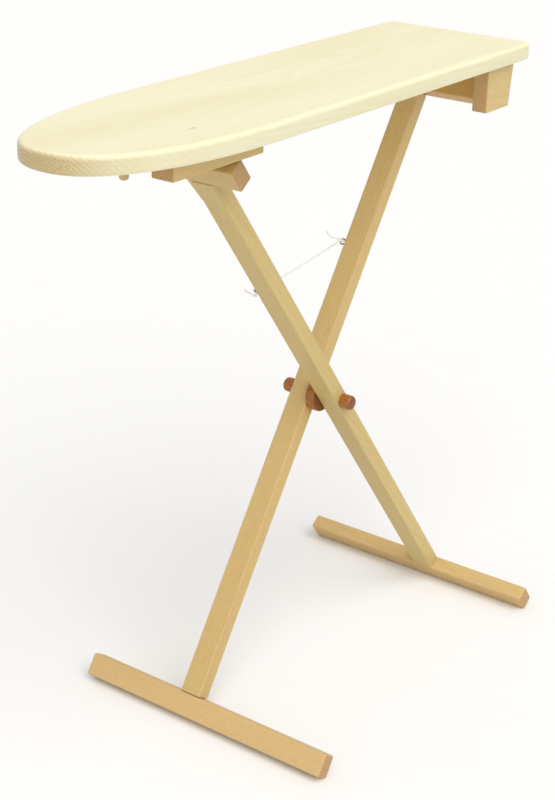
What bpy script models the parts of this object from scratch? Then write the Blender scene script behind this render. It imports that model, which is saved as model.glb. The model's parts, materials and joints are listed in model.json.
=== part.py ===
"""Folding wooden ironing board: a solid wood top on two crossed legs.

World frame, in metres: +X points to the square end and -X to the nose, +Z is up, and the floor is
z = 0. The origin is on the floor, midway along the whole board's length and on its centre plane.

Leg A is the far leg. Its top crossbar turns on two pins between the hinge blocks. Leg B is the near
leg. Its top crossbar carries the nose of the board. The two cross on a dowel with a cap on each
end, and a cord between them stops the spread. Each leg is modelled in its own frame, whose origin
is the cross pivot: local +Z runs up the leg, and local -X is the leg's front, which looks to the
nose.
"""

import math

import bmesh
import bpy
from mathutils import Matrix, Vector

MM = 0.001

# Fits and edges
GAP = 0.3 * MM              # between pieces that touch
SIDE_CLEARANCE = 1.0 * MM   # each side of leg B's crossbar where it passes between the hinge blocks
EDGE = 1.5 * MM             # rounding on the edges of the leg stock
END_SINK = 2.0 * MM         # how far a cutter runs out past the face that it opens

# Board
BOARD_LENGTH = 675 * MM
BOARD_WIDTH = 184 * MM
BOARD_THICKNESS = 18 * MM
NOSE_LENGTH = 223 * MM      # the part of the length that curves in to the nose
NOSE_FULLNESS = 2.3         # 2 is an ellipse, and more is squarer
REAR_CORNER = 12 * MM
TOP_ROUND = 5 * MM
UNDER_ROUND = 3 * MM

# Leg stock and legs, measured along the leg from the cross pivot
STOCK_WIDTH = 25 * MM
STOCK_DEPTH = 18 * MM
SPREAD = math.radians(70.2)  # angle between the two legs
LEG_A_DOWN = 353 * MM        # to the top of the foot bar
LEG_A_UP = 354.5 * MM          # to the underside of the crossbar
LEG_B_DOWN = 370 * MM
LEG_B_UP = 371 * MM
LEG_GAP = 12 * MM            # between the two legs
LEG_SHIFT = 2.8 * MM         # from the board's centre plane to the middle of that gap, to leg A's side
FOOT_A_LENGTH = 316 * MM
FOOT_B_LENGTH = 308 * MM
CROSSBAR_LENGTH = 124 * MM   # leg B's crossbar

# Cross pivot
PIVOT_DIAMETER = 10 * MM
CAP_DIAMETER = 16 * MM
CAP_PROUD = 13.6 * MM        # each cap stands out of its leg
CAP_BASE_ROUND = 0.6 * MM
CAP_END_ROUND = 3 * MM
CAP_END_WALL = 4 * MM
SPACER_DIAMETER = 38 * MM
SPACER_EDGE = 1.5 * MM

# Hinge at the square end
HINGE_TO_END = 50.3 * MM     # hinge axis to the board's square end
HINGE_PIN_DIAMETER = 10 * MM
PIN_IN_BAR = 20 * MM
PIN_IN_BLOCK = 14 * MM
BLOCK_THICKNESS = 18 * MM
BLOCK_FRONT = 24.5 * MM        # from the hinge axis to the block's front face
BLOCK_BACK = 24.5 * MM         # from the hinge axis to the block's back face, at its foot
BLOCK_TAPER = 6.5 * MM       # how much further the back face reaches at the board
BLOCK_BELOW = 16.5 * MM      # the block reaches below the hinge axis
BLOCK_DOWEL_DIAMETER = 8 * MM
BLOCK_DOWEL_LENGTH = 24 * MM
BLOCK_DOWEL_IN_BOARD = 11 * MM
BLOCK_DOWEL_SPACING = 22 * MM

# Cleats under the nose, on which leg B's crossbar bears
CLEAT_LENGTH = 129 * MM
CLEAT_PAST_BAR = 32 * MM     # from the bar's bearing edge to the cleat's rear end
CLEAT_SCREW_INSET = 24 * MM
SCREW_DIAMETER = 3.6 * MM
SCREW_HEAD_DIAMETER = 7.2 * MM
SCREW_HEAD_HEIGHT = 2.4 * MM
SCREW_IN_BOARD = 9 * MM
SCREW_SUNK = 0.4 * MM

# Peg under the nose
PEG_DIAMETER = 9 * MM
PEG_LENGTH = 30 * MM         # below the board
PEG_IN_BOARD = 12 * MM
PEG_FROM_NOSE = 107 * MM

# Glued dowels in the butt joints of the legs
JOINT_DOWEL_DIAMETER = 6 * MM
JOINT_DOWEL_LENGTH = 28 * MM
JOINT_DOWEL_SPACING = 12 * MM

# Brace block on the far side of leg B, under its crossbar
BRACE_LENGTH = 33 * MM
BRACE_THICKNESS = 9.4 * MM
BRACE_TOE = 4 * MM           # thickness at its lower end
BRACE_SET_BACK = 3 * MM      # behind the leg's front face
BRACE_SCREW_LENGTH = 17 * MM
BRACE_SCREW_DIAMETER = 2.6 * MM
BRACE_SCREW_BELOW = 5 * MM    # the upper screw's middle, below the ends of the joint's dowels
BRACE_SCREW_SPACING = 9 * MM

# Screw eyes and the cord
EYE_A_UP = 169 * MM          # along leg A from the cross pivot
EYE_B_UP = 192 * MM          # along leg B from the cross pivot
EYE_FORWARD = 4 * MM         # in front of the leg's middle
EYE_RADIUS = 3.1 * MM        # to the middle of the wire
EYE_WIRE = 1.6 * MM
EYE_SHANK = 9 * MM           # in the wood
CORD_DIAMETER = 2 * MM
KNOT_DIAMETER = 5.4 * MM
KNOT_FORWARD = 5.2 * MM      # knot's middle in front of the ring's middle
CORD_STEP = 4.6 * MM         # between the points of the finished cord
CORD_ROUTE = (               # from leg A's knot, through leg B's eye, to leg B's knot
    (0.0820, 0.0383, 0.1463), (0.0660, 0.0354, 0.1461), (0.0500, 0.0325, 0.1461),
    (0.0340, 0.0296, 0.1462), (0.0180, 0.0267, 0.1464), (0.0020, 0.0238, 0.1467),
    (-0.0140, 0.0209, 0.1471), (-0.0300, 0.0180, 0.1475), (-0.0460, 0.0151, 0.1481),
    (-0.0620, 0.0122, 0.1487), (-0.0780, 0.0093, 0.1494), (-0.0940, 0.0063, 0.1501),
    (-0.1080, 0.0038, 0.1508), (-0.1150, 0.0024, 0.1511), (-0.1186, 0.0019, 0.1509),
    (-0.1204, 0.0018, 0.1497),
)
TAIL_A_ROUTE = (
    (0.0829, 0.0406, 0.1480), (0.0796, 0.0423, 0.1489), (0.0752, 0.0443, 0.1511),
    (0.0716, 0.0458, 0.1545), (0.0692, 0.0468, 0.1582),
)
TAIL_B_ROUTE = (
    (-0.1242, 0.0042, 0.1493), (-0.1254, 0.0062, 0.1501), (-0.1266, 0.0082, 0.1513),
    (-0.1276, 0.0098, 0.1527),
)

SEGMENTS = 32
SMALL_SEGMENTS = 16
SIDES = ((-1, "near"), (1, "far"))

# The spread puts both feet on the floor. Each foot bar stands on the rounded edge of its lower
# corner, so the tilt of leg A follows from the two lengths and the spread.
foot_a_reach = LEG_A_DOWN + STOCK_WIDTH - EDGE
foot_b_reach = LEG_B_DOWN + STOCK_WIDTH - EDGE
foot_side = STOCK_DEPTH / 2 - EDGE
tilt_a = math.atan2(foot_a_reach - foot_b_reach * math.cos(SPREAD) - foot_side * math.sin(SPREAD),
                    foot_b_reach * math.sin(SPREAD) - foot_side * math.cos(SPREAD) - foot_side)
tilt_b = SPREAD - tilt_a
pivot_height = foot_a_reach * math.cos(tilt_a) + foot_side * math.sin(tilt_a) + EDGE

# Leg centre planes
leg_a_y = LEG_SHIFT + (LEG_GAP + STOCK_WIDTH) / 2
leg_b_y = LEG_SHIFT - (LEG_GAP + STOCK_WIDTH) / 2
far_face = STOCK_WIDTH / 2

# Hinge axis and board levels, from the cross pivot
hinge_up = LEG_A_UP + STOCK_WIDTH / 2
hinge_x = hinge_up * math.sin(tilt_a)
hinge_z = pivot_height + hinge_up * math.cos(tilt_a)
bar_top = LEG_B_UP + STOCK_WIDTH - EDGE
bar_back = STOCK_DEPTH / 2 - EDGE
bearing_x = -bar_top * math.sin(tilt_b) + bar_back * math.cos(tilt_b)
bearing_z = pivot_height + bar_top * math.cos(tilt_b) + bar_back * math.sin(tilt_b) + EDGE
cleat_bottom = bearing_z + GAP
cleat_top = cleat_bottom + STOCK_DEPTH
board_bottom = cleat_top + GAP
board_top = board_bottom + BOARD_THICKNESS

# The origin: midway between the furthest points of the board and the feet
square_end = hinge_x + HINGE_TO_END
nose_tip = square_end - BOARD_LENGTH
foot_corner = STOCK_DEPTH / 2 - EDGE
foot_a_x = -foot_a_reach * math.sin(tilt_a) - foot_corner * math.cos(tilt_a) - EDGE
foot_b_x = foot_b_reach * math.sin(tilt_b) + foot_corner * math.cos(tilt_b) + EDGE
origin_x = (min(nose_tip, foot_a_x) + max(square_end, foot_b_x)) / 2
pivot = Vector((-origin_x, 0, pivot_height))
hinge = Vector((hinge_x - origin_x, 0, hinge_z))

# Inner faces of the hinge blocks, and what reaches to them
block_inner = CROSSBAR_LENGTH / 2 + SIDE_CLEARANCE
rail_length = 2 * (block_inner - GAP)


def clear_scene():
    for item in list(bpy.data.objects):
        bpy.data.objects.remove(item, do_unlink=True)


def material(name, colour, roughness, metallic=0.0):
    made = bpy.data.materials.new(name)
    made.use_nodes = True
    shader = made.node_tree.nodes["Principled BSDF"]
    shader.inputs["Base Color"].default_value = (*colour, 1)
    shader.inputs["Roughness"].default_value = roughness
    shader.inputs["Metallic"].default_value = metallic
    return made


PALE_WOOD = (0.80, 0.70, 0.45)
LEG_WOOD = (0.66, 0.50, 0.26)
DOWEL_WOOD = (0.45, 0.19, 0.08)
STEEL = (0.55, 0.54, 0.52)
COTTON = (0.82, 0.81, 0.76)


def frame_empty(name, location, tilt=0.0):
    """An empty on a joint's axis. Pieces that move together are its children."""
    empty = bpy.data.objects.new(name, None)
    empty.location = location
    empty.rotation_euler = (0, tilt, 0)
    bpy.context.scene.collection.objects.link(empty)
    return empty


def add_object(name, bm, parent, colour, roughness=0.5, metallic=0.0):
    """Turns a bmesh into a named object with its own material, in its parent's frame."""
    bmesh.ops.recalc_face_normals(bm, faces=bm.faces)
    mesh = bpy.data.meshes.new(name)
    bm.to_mesh(mesh)
    bm.free()
    made = bpy.data.objects.new(name, mesh)
    made.parent = parent
    bpy.context.scene.collection.objects.link(made)
    mesh.materials.append(material(name + "_finish", colour, roughness, metallic))
    mesh.shade_smooth()
    mesh.set_sharp_from_angle(angle=math.radians(35))
    return made


def add_cutter(name, bm, parent):
    """A guide solid that only cuts its neighbours."""
    made = add_object(name, bm, parent, STEEL)
    made.hide_render = True
    made.display_type = "WIRE"
    return made


def cut(target, cutter):
    boolean = target.modifiers.new("cut_" + cutter.name, "BOOLEAN")
    boolean.operation = "DIFFERENCE"
    boolean.solver = "EXACT"
    boolean.object = cutter


def box_into(bm, low, high):
    """Adds a box between two corners and gives its new vertices."""
    low, high = Vector(low), Vector(high)
    place = Matrix.Translation((low + high) / 2) @ Matrix.Diagonal((*(high - low), 1))
    return bmesh.ops.create_cube(bm, size=1, matrix=place)["verts"]


def stick(name, low, high, parent, colour, edge=EDGE):
    """A length of wood with all its edges slightly rounded."""
    bm = bmesh.new()
    box_into(bm, low, high)
    bmesh.ops.bevel(bm, geom=bm.edges[:], offset=edge, segments=2, profile=0.5, affect="EDGES")
    return add_object(name, bm, parent, colour)


def rod_into(bm, start, end, diameter, segments=SEGMENTS):
    """Adds a straight rod between two points."""
    start, end = Vector(start), Vector(end)
    along = end - start
    turn = along.to_track_quat("Z", "Y").to_matrix().to_4x4()
    place = Matrix.Translation((start + end) / 2) @ turn
    bmesh.ops.create_cone(bm, cap_ends=True, segments=segments, radius1=diameter / 2,
                          radius2=diameter / 2, depth=along.length, matrix=place)


def turned_into(bm, profile, start, direction, segments=SEGMENTS):
    """Adds a turned solid. The profile is (radius, height) pairs that start and end at radius 0."""
    ring = [bm.verts.new((radius, 0, height)) for radius, height in profile]
    edges = [bm.edges.new(pair) for pair in zip(ring, ring[1:])]
    spun = bmesh.ops.spin(bm, geom=ring + edges, cent=(0, 0, 0), axis=(0, 0, 1),
                          angle=math.tau, steps=segments, use_merge=True)
    verts = list({vert for edge in edges for vert in edge.verts}
                 | {item for item in spun["geom_last"] if isinstance(item, bmesh.types.BMVert)})
    island = set(verts)
    grow = list(verts)
    while grow:
        for edge in grow.pop().link_edges:
            for vert in edge.verts:
                if vert not in island:
                    island.add(vert)
                    grow.append(vert)
    bmesh.ops.remove_doubles(bm, verts=list(island), dist=1e-6)
    kept = [vert for vert in island if vert.is_valid]
    turn = Vector(direction).to_track_quat("Z", "Y").to_matrix().to_4x4()
    bmesh.ops.transform(bm, matrix=Matrix.Translation(Vector(start)) @ turn, verts=kept)


def round_end_profile(radius, length, rounding, steps=3):
    """Half outline of a rod with both ends rounded, from its start to its end."""
    arc = [(radius - rounding * (1 - math.sin(step / steps * math.pi / 2)),
            rounding * (1 - math.cos(step / steps * math.pi / 2))) for step in range(steps + 1)]
    return [(0, 0)] + arc + [(r, length - h) for r, h in reversed(arc)] + [(0, length)]


def superellipse(along, across, fullness, steps):
    """Quarter outlines of the nose: points from the near side, round the tip, to the far side."""
    points = []
    for step in range(-steps, steps + 1):
        angle = step / steps * math.pi / 2
        x = along * abs(math.cos(angle)) ** (2 / fullness)
        y = math.copysign(across * abs(math.sin(angle)) ** (2 / fullness), angle)
        points.append((x, y))
    return points


def board_outline():
    """The board's plan, anticlockwise from above, in the hinge's frame."""
    half = BOARD_WIDTH / 2
    end = HINGE_TO_END
    nose_root = end - BOARD_LENGTH + NOSE_LENGTH
    points = []
    for side, first in ((-1, -math.pi / 2), (1, 0)):
        centre = (end - REAR_CORNER, side * (half - REAR_CORNER))
        for step in range(6):
            angle = first + step / 5 * math.pi / 2
            points.append((centre[0] + REAR_CORNER * math.cos(angle),
                           centre[1] + REAR_CORNER * math.sin(angle)))
    nose = superellipse(NOSE_LENGTH, half, NOSE_FULLNESS, 20)
    points += [(nose_root - x, y) for x, y in reversed(nose)]
    return points


def make_board(parent):
    bottom = board_bottom - hinge_z
    bm = bmesh.new()
    floor = bm.faces.new([bm.verts.new((x, y, bottom)) for x, y in board_outline()])
    raised = bmesh.ops.extrude_face_region(bm, geom=[floor])["geom"]
    tops = [item for item in raised if isinstance(item, bmesh.types.BMVert)]
    bmesh.ops.translate(bm, verts=tops, vec=(0, 0, BOARD_THICKNESS))
    top = bottom + BOARD_THICKNESS
    for level, rounding, segments in ((top, TOP_ROUND, 4), (bottom, UNDER_ROUND, 3)):
        rim = [edge for edge in bm.edges
               if all(abs(vert.co.z - level) < GAP / 10 for vert in edge.verts)]
        bmesh.ops.bevel(bm, geom=rim, offset=rounding, segments=segments, profile=0.5,
                        affect="EDGES")
    return add_object("board_top", bm, parent, PALE_WOOD, 0.45)


def screw_profile(diameter, head_diameter, head_height, length):
    """A countersunk wood screw from its head, with a blunt cone for the point."""
    return [(0, 0), (head_diameter / 2, 0), (diameter / 2, head_height),
            (diameter / 2, length - diameter), (diameter / 4, length), (0, length)]


def cleat_screw_places(side):
    """Screw places along a cleat: two on its middle line."""
    rear = bearing_x - hinge_x + CLEAT_PAST_BAR
    y = side * (block_inner - STOCK_WIDTH / 2)
    front = rear - CLEAT_LENGTH
    return [(front + CLEAT_SCREW_INSET, y), (rear - CLEAT_SCREW_INSET, y)]


def make_cleats(parent, board):
    """The two cleats under the nose, their screws and the holes for them."""
    bottom = cleat_bottom - hinge_z
    length = STOCK_DEPTH + SCREW_IN_BOARD - SCREW_SUNK
    rear = bearing_x - hinge_x + CLEAT_PAST_BAR
    holes = bmesh.new()
    for side, side_name in SIDES:
        for end_name, (x, y) in zip(("front", "rear"), cleat_screw_places(side)):
            screw = bmesh.new()
            turned_into(screw, screw_profile(SCREW_DIAMETER, SCREW_HEAD_DIAMETER,
                                             SCREW_HEAD_HEIGHT, length),
                        (x, y, bottom + SCREW_SUNK), (0, 0, 1), SMALL_SEGMENTS)
            add_object(f"cleat_screw_{side_name}_{end_name}", screw, parent, STEEL, 0.35, 1.0)
            wide = SCREW_HEAD_DIAMETER / 2 + GAP
            narrow = SCREW_DIAMETER / 2 + GAP
            sink = END_SINK + SCREW_SUNK
            hole = [(0, 0), (wide, 0), (wide, sink), (narrow, sink + SCREW_HEAD_HEIGHT),
                    (narrow, sink + length + GAP), (0, sink + length + GAP)]
            turned_into(holes, hole, (x, y, bottom - END_SINK), (0, 0, 1), SMALL_SEGMENTS)
    cutter = add_cutter("cleat_screw_holes", holes, parent)
    for side, side_name in SIDES:
        inner = block_inner - STOCK_WIDTH
        ys = sorted((side * inner, side * block_inner))
        cleat = stick("nose_cleat_" + side_name, (rear - CLEAT_LENGTH, ys[0], bottom),
                      (rear, ys[1], bottom + STOCK_DEPTH), parent, LEG_WOOD)
        cut(cleat, cutter)
    cut(board, cutter)


def make_peg(parent, board):
    """The round-ended peg under the nose, in line with the gap between the legs."""
    x = nose_tip - hinge_x + PEG_FROM_NOSE
    y = LEG_SHIFT
    bottom = board_bottom - hinge_z
    bm = bmesh.new()
    length = PEG_LENGTH + PEG_IN_BOARD
    profile = round_end_profile(PEG_DIAMETER / 2, length, PEG_DIAMETER * 0.35)
    turned_into(bm, profile, (x, y, bottom - PEG_LENGTH), (0, 0, 1), 24)
    add_object("storage_peg", bm, parent, LEG_WOOD)
    hole = bmesh.new()
    rod_into(hole, (x, y, bottom - END_SINK), (x, y, bottom + PEG_IN_BOARD + GAP),
             PEG_DIAMETER + 2 * GAP, 24)
    cut(board, add_cutter("peg_hole", hole, parent))


def make_hinge_blocks(parent, board):
    """The two tapered blocks, their dowels into the board, and the blind holes for the pins."""
    under = board_bottom - hinge_z
    dowel_holes = bmesh.new()
    pin_holes = bmesh.new()
    low = under + BLOCK_DOWEL_IN_BOARD - BLOCK_DOWEL_LENGTH
    high = under + BLOCK_DOWEL_IN_BOARD
    middle = (BLOCK_BACK + BLOCK_TAPER / 2 - BLOCK_FRONT) / 2
    blocks = []
    for side, side_name in SIDES:
        y = side * (block_inner + BLOCK_THICKNESS / 2)
        bm = bmesh.new()
        verts = box_into(bm, (-BLOCK_FRONT, y - BLOCK_THICKNESS / 2, -BLOCK_BELOW),
                         (BLOCK_BACK, y + BLOCK_THICKNESS / 2, under - GAP))
        for vert in verts:
            if vert.co.x > 0 and vert.co.z > 0:
                vert.co.x += BLOCK_TAPER
        bmesh.ops.bevel(bm, geom=bm.edges[:], offset=EDGE, segments=2, profile=0.5,
                        affect="EDGES")
        blocks.append(add_object("hinge_block_" + side_name, bm, parent, LEG_WOOD))
        for step, end_name in ((-0.5, "front"), (0.5, "rear")):
            x = middle + step * BLOCK_DOWEL_SPACING
            dowel = bmesh.new()
            rod_into(dowel, (x, y, low), (x, y, high), BLOCK_DOWEL_DIAMETER, SMALL_SEGMENTS)
            add_object(f"block_dowel_{side_name}_{end_name}", dowel, parent, DOWEL_WOOD)
            rod_into(dowel_holes, (x, y, low - GAP), (x, y, high + GAP),
                     BLOCK_DOWEL_DIAMETER + 2 * GAP, SMALL_SEGMENTS)
        inner = side * (block_inner - END_SINK)
        rod_into(pin_holes, (0, inner, 0), (0, side * (block_inner + PIN_IN_BLOCK + GAP), 0),
                 HINGE_PIN_DIAMETER + 2 * GAP)
    holes = add_cutter("block_dowel_holes", dowel_holes, parent)
    pins = add_cutter("block_pin_holes", pin_holes, parent)
    for block in blocks:
        cut(block, holes)
        cut(block, pins)
    cut(board, holes)


def make_hinge_pins(parent):
    """The two dowel pins, half in leg A's crossbar and half in the blocks."""
    for side, side_name in SIDES:
        bm = bmesh.new()
        length = PIN_IN_BAR + GAP + PIN_IN_BLOCK
        start = (0, side * (rail_length / 2 - PIN_IN_BAR), 0)
        profile = round_end_profile(HINGE_PIN_DIAMETER / 2, length, EDGE, 2)
        turned_into(bm, profile, start, (0, side, 0))
        add_object("hinge_pin_" + side_name, bm, parent, DOWEL_WOOD)


def joint_dowels(name, y, level, parent, *pieces):
    """Two glued dowels across a butt joint at this level of a leg, and their holes."""
    holes = bmesh.new()
    half = JOINT_DOWEL_LENGTH / 2
    for side, side_name in SIDES:
        at = y + side * JOINT_DOWEL_SPACING / 2
        dowel = bmesh.new()
        rod_into(dowel, (0, at, level - half), (0, at, level + half), JOINT_DOWEL_DIAMETER,
                 SMALL_SEGMENTS)
        add_object(f"{name}_{side_name}", dowel, parent, DOWEL_WOOD)
        rod_into(holes, (0, at, level - half - GAP), (0, at, level + half + GAP),
                 JOINT_DOWEL_DIAMETER + 2 * GAP, SMALL_SEGMENTS)
    cutter = add_cutter(name + "_holes", holes, parent)
    for piece in pieces:
        cut(piece, cutter)


def make_leg(letter, y, down, up, foot_length, bar_length, parent):
    """One leg with its crossbar and foot bar, butted and dowelled."""
    half = STOCK_DEPTH / 2
    low, high = y - STOCK_WIDTH / 2, y + STOCK_WIDTH / 2
    leg = stick("leg_" + letter, (-half, low, -down + GAP), (half, high, up - GAP), parent,
                LEG_WOOD)
    bar = stick(f"leg_{letter}_crossbar", (-half, -bar_length / 2, up),
                (half, bar_length / 2, up + STOCK_WIDTH), parent, LEG_WOOD)
    foot = stick(f"leg_{letter}_foot", (-half, -foot_length / 2, -down - STOCK_WIDTH),
                 (half, foot_length / 2, -down), parent, LEG_WOOD)
    joint_dowels(f"leg_{letter}_top_dowel", y, up, parent, leg, bar)
    joint_dowels(f"leg_{letter}_foot_dowel", y, -down, parent, leg, foot)
    return leg, bar


def make_cross_pivot(parent_a, parent_b, leg_a, leg_b):
    """The dowel through both legs, the spacer between them and the cap glued on each end."""
    face = LEG_GAP / 2 + STOCK_WIDTH
    reach = face + CAP_PROUD - CAP_END_WALL - GAP
    bm = bmesh.new()
    turned_into(bm, round_end_profile(PIVOT_DIAMETER / 2, 2 * reach, CAP_BASE_ROUND, 1),
                (0, LEG_SHIFT - reach, 0), (0, 1, 0))
    add_object("pivot_dowel", bm, parent_b, DOWEL_WOOD, 0.4)

    half = LEG_GAP / 2 - GAP
    bm = bmesh.new()
    profile = round_end_profile(SPACER_DIAMETER / 2, 2 * half, SPACER_EDGE, 2)
    turned_into(bm, profile, (0, LEG_SHIFT - half, 0), (0, 1, 0), 48)
    spacer = add_object("pivot_spacer", bm, parent_b, LEG_WOOD)

    pierced = [(leg_a, parent_a), (leg_b, parent_b), (spacer, parent_b)]
    for side, side_name in SIDES:
        start = LEG_SHIFT + side * (face + GAP)
        length = CAP_PROUD - GAP
        radius = CAP_DIAMETER / 2
        arc = [(radius - CAP_END_ROUND * (1 - math.cos(turn * math.pi / 8)),
                length - CAP_END_ROUND * (1 - math.sin(turn * math.pi / 8)))
               for turn in range(5)]
        bm = bmesh.new()
        turned_into(bm, [(0, 0), (radius - CAP_BASE_ROUND, 0), (radius, CAP_BASE_ROUND)] + arc
                    + [(0, length)], (0, start, 0), (0, side, 0))
        pierced.append((add_object("pivot_cap_" + side_name, bm, parent_b, DOWEL_WOOD, 0.4),
                        parent_b))
    for piece, frame in pierced:
        hole = bmesh.new()
        rod_into(hole, (0, LEG_SHIFT - reach - GAP, 0), (0, LEG_SHIFT + reach + GAP, 0),
                 PIVOT_DIAMETER + 2 * GAP)
        cut(piece, add_cutter(piece.name + "_pivot_hole", hole, frame))


def make_brace(parent, leg_b):
    """The tapered block in the corner between leg B and the far arm of its crossbar."""
    face = leg_b_y + far_face
    half = STOCK_DEPTH / 2
    top = LEG_B_UP - GAP
    front = -half + BRACE_SET_BACK
    bm = bmesh.new()
    verts = box_into(bm, (front, face + GAP, top - BRACE_LENGTH),
                     (half - EDGE, face + GAP + BRACE_THICKNESS, top))
    for vert in verts:
        if vert.co.z < top - BRACE_LENGTH / 2 and vert.co.y > face + 2 * GAP:
            vert.co.y = face + GAP + BRACE_TOE
    bmesh.ops.bevel(bm, geom=bm.edges[:], offset=EDGE / 2, segments=2, profile=0.5,
                    affect="EDGES")
    brace = add_object("brace_block", bm, parent, LEG_WOOD)

    slope = (BRACE_THICKNESS - BRACE_TOE) / BRACE_LENGTH
    holes = bmesh.new()
    upper = LEG_B_UP - JOINT_DOWEL_LENGTH / 2 - BRACE_SCREW_BELOW
    for z, end_name in ((upper, "upper"), (upper - BRACE_SCREW_SPACING, "lower")):
        y = face + GAP + BRACE_TOE + slope * (z - top + BRACE_LENGTH) - 2 * SCREW_SUNK
        x = (front + half) / 2
        head = 1.9 * BRACE_SCREW_DIAMETER
        screw = bmesh.new()
        turned_into(screw, screw_profile(BRACE_SCREW_DIAMETER, head, BRACE_SCREW_DIAMETER / 2,
                                         BRACE_SCREW_LENGTH), (x, y, z), (0, -1, 0),
                    SMALL_SEGMENTS)
        add_object("brace_screw_" + end_name, screw, parent, STEEL, 0.35, 1.0)
        rod_into(holes, (x, y - BRACE_SCREW_LENGTH - GAP, z), (x, y + END_SINK, z),
                 head + 2 * GAP, SMALL_SEGMENTS)
    cutter = add_cutter("brace_screw_holes", holes, parent)
    cut(brace, cutter)
    cut(leg_b, cutter)


def eye_place(y, up):
    """Middle of a screw eye's ring, on the far face of a leg."""
    return Vector((-EYE_FORWARD, y + far_face + GAP + EYE_RADIUS + EYE_WIRE, up))


def make_eye(name, y, up, parent, leg):
    """A screw eye in the far face of a leg, its ring in the leg's length."""
    centre = eye_place(y, up)
    steps, sides = 24, 10
    bm = bmesh.new()
    section = [bm.verts.new((0, EYE_RADIUS + EYE_WIRE / 2 * math.cos(turn * math.tau / sides),
                             EYE_WIRE / 2 * math.sin(turn * math.tau / sides)))
               for turn in range(sides)]
    for vert in section:
        vert.co = (vert.co.z, vert.co.y, 0)
    edges = [bm.edges.new((section[turn], section[(turn + 1) % sides])) for turn in range(sides)]
    bmesh.ops.spin(bm, geom=section + edges, cent=(0, 0, 0), axis=(1, 0, 0), angle=math.tau,
                   steps=steps, use_merge=True)
    bmesh.ops.remove_doubles(bm, verts=bm.verts[:], dist=1e-6)
    bmesh.ops.translate(bm, verts=bm.verts[:], vec=centre)
    eye = add_object(name, bm, parent, STEEL, 0.35, 1.0)
    shank = bmesh.new()
    rod_into(shank, (centre.x, centre.y - EYE_RADIUS, centre.z),
             (centre.x, y + far_face - EYE_SHANK, centre.z), EYE_WIRE, sides)
    shank_part = add_cutter(name + "_shank", shank, parent)
    join = eye.modifiers.new("shank", "BOOLEAN")
    join.operation = "UNION"
    join.solver = "EXACT"
    join.object = shank_part
    hole = bmesh.new()
    rod_into(hole, (centre.x, y + far_face + END_SINK, centre.z),
             (centre.x, y + far_face - EYE_SHANK - GAP, centre.z), EYE_WIRE + 2 * GAP, sides)
    cut(leg, add_cutter(name + "_hole", hole, parent))


def make_knot(name, local, parent):
    """A small round knot just in front of a screw eye."""
    bm = bmesh.new()
    bmesh.ops.create_uvsphere(bm, u_segments=16, v_segments=10, radius=KNOT_DIAMETER / 2,
                              matrix=Matrix.Translation(Vector(local)))
    add_object(name, bm, parent, COTTON, 0.9)


def smooth_route(route, step):
    """Evenly numbered points on the Catmull-Rom curve through a route's points."""
    knots = [Vector(point) for point in route]
    knots = [2 * knots[0] - knots[1]] + knots + [2 * knots[-1] - knots[-2]]
    points = []
    for first, start, end, last in zip(knots, knots[1:], knots[2:], knots[3:]):
        count = max(1, round((end - start).length / step))
        for index in range(count):
            share = index / count
            points.append(0.5 * (2 * start + (end - first) * share
                                 + (2 * first - 5 * start + 4 * end - last) * share ** 2
                                 + (3 * start - first - 3 * end + last) * share ** 3))
    return points + [knots[-2]]


def make_cord(name, route):
    """A plain tube along a route that starts from the cross pivot, in the world's directions."""
    curve = bpy.data.curves.new(name, "CURVE")
    curve.dimensions = "3D"
    curve.bevel_depth = CORD_DIAMETER / 2
    curve.bevel_resolution = 2
    curve.use_fill_caps = True
    spline = curve.splines.new("POLY")
    points = [pivot + point for point in smooth_route(route, CORD_STEP)]
    spline.points.add(len(points) - 1)
    for item, point in zip(spline.points, points):
        item.co = (*point, 1)
    made = bpy.data.objects.new(name, curve)
    bpy.context.scene.collection.objects.link(made)
    curve.materials.append(material(name + "_finish", COTTON, 0.9))


def main():
    clear_scene()
    frame_a = frame_empty("leg_a_frame", pivot, tilt_a)
    frame_b = frame_empty("leg_b_frame", pivot, -tilt_b)
    board_frame = frame_empty("board_frame", hinge)

    board = make_board(board_frame)
    make_cleats(board_frame, board)
    make_peg(board_frame, board)
    make_hinge_blocks(board_frame, board)
    make_hinge_pins(board_frame)

    leg_a, rail = make_leg("a", leg_a_y, LEG_A_DOWN, LEG_A_UP, FOOT_A_LENGTH, rail_length, frame_a)
    leg_b, _bar = make_leg("b", leg_b_y, LEG_B_DOWN, LEG_B_UP, FOOT_B_LENGTH, CROSSBAR_LENGTH,
                           frame_b)
    pin_holes = bmesh.new()
    for side in (-1, 1):
        rod_into(pin_holes, (0, side * (rail_length / 2 + END_SINK), hinge_up),
                 (0, side * (rail_length / 2 - PIN_IN_BAR - GAP), hinge_up),
                 HINGE_PIN_DIAMETER + 2 * GAP)
    cut(rail, add_cutter("rail_pin_holes", pin_holes, frame_a))

    make_cross_pivot(frame_a, frame_b, leg_a, leg_b)
    make_brace(frame_b, leg_b)
    make_eye("cord_eye_a", leg_a_y, EYE_A_UP, frame_a, leg_a)
    make_eye("cord_eye_b", leg_b_y, EYE_B_UP, frame_b, leg_b)
    forward = Vector((-KNOT_FORWARD, 0, 0))
    make_knot("cord_knot_a", eye_place(leg_a_y, EYE_A_UP) + forward, frame_a)
    make_knot("cord_knot_b", eye_place(leg_b_y, EYE_B_UP) + forward, frame_b)
    make_cord("spread_cord", CORD_ROUTE)
    make_cord("cord_tail_a", TAIL_A_ROUTE)
    make_cord("cord_tail_b", TAIL_B_ROUTE)
    bpy.context.view_layer.update()


main()
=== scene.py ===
"""Looks of the small folding wooden ironing board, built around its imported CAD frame."""

import json
import math

import bmesh
import bpy
from bpy.props import FloatProperty, FloatVectorProperty, IntProperty, PointerProperty
from mathutils import Matrix, Vector


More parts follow.
